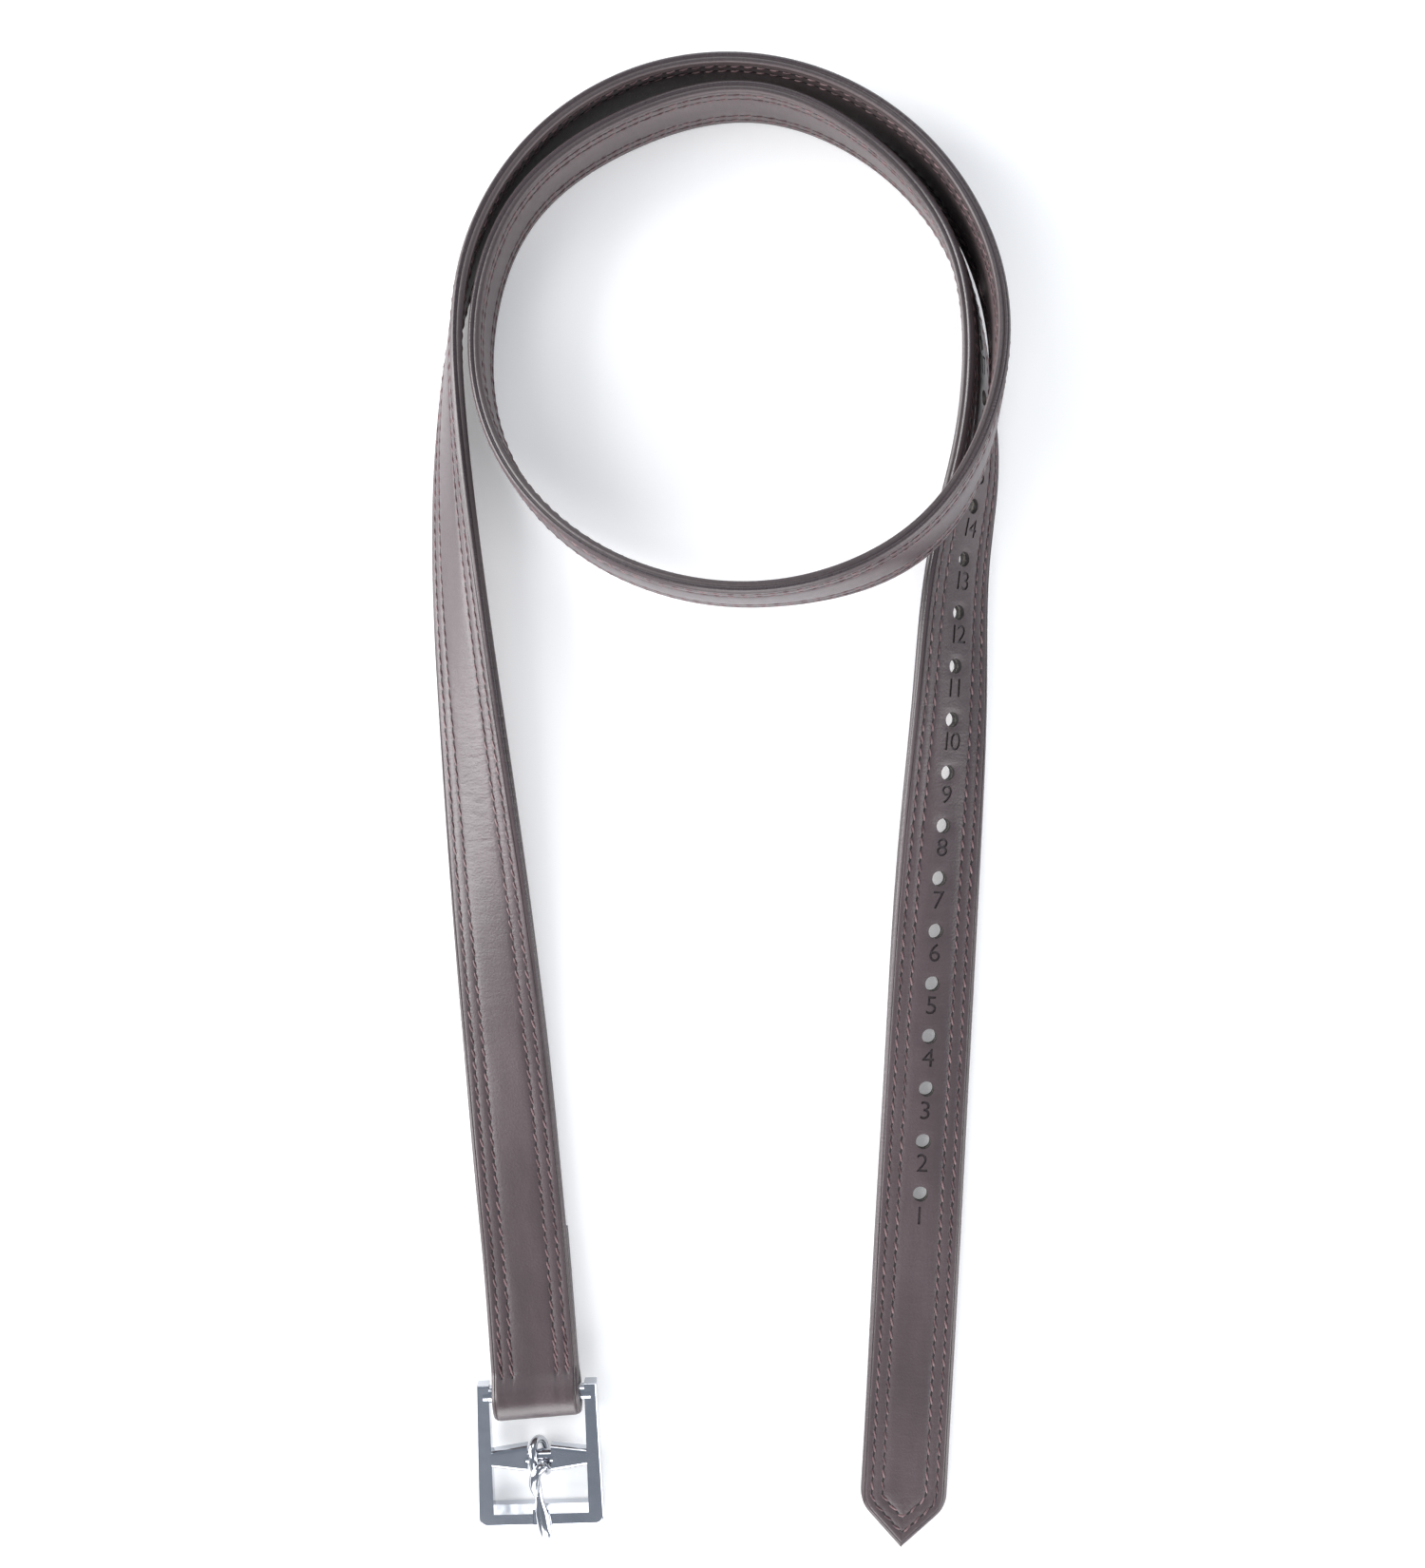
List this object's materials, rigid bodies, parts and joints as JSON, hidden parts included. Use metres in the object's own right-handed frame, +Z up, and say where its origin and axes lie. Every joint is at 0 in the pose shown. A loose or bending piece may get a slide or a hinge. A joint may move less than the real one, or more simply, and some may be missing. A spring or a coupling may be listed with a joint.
{
  "type": "stirrup leather",
  "caption": "Long twin-layer leather strap, stitched and punched, folded round a square single-tongue buckle and lying in a coil on its edge.",
  "frame": {"origin": "on the ground under the middle of the whole lying object", "axes": "+Z up, +Y from the buckle and tip towards the coil, +X to the right seen from above"},
  "size_m": [0.167, 0.4288, 0.0462],
  "materials": {
    "grain_leather": "dark brown bridle leather, soft sheen, fine grain",
    "backing_leather": "dark brown leather, close pressed, matt",
    "webbing": "plain woven polyester webbing",
    "thread": "waxed burgundy-brown thread",
    "polished_steel": "mirror-polished stainless casting",
    "tongue_steel": "polished stainless"
  },
  "bodies": {
    "strap": {"front_leather": "grain_leather", "core_webbing": "webbing", "back_leather": "backing_leather", "outer_needle_thread": "thread", "inner_needle_thread": "thread", "outer_bobbin_thread": "thread", "inner_bobbin_thread": "thread", "outer_turnback_thread": "thread", "inner_turnback_thread": "thread"},
    "buckle": {"buckle_frame": "polished_steel"},
    "tongue": {"buckle_tongue": "tongue_steel"}
  },
  "joints": [
    {"name": "buckle_swing", "type": "hinge", "parent": "strap", "child": "buckle", "pos_m": [-0.05162, -0.16788, 0.0069], "axis": [-0.9996, -0.0269, 0], "range_deg": [-90, 80]},
    {"name": "tongue_lift", "type": "hinge", "parent": "buckle", "child": "tongue", "pos_m": [-0.0511, -0.18714, 0.00464], "axis": [-0.9996, -0.0269, 0], "range_deg": [0, 130]}
  ]
}
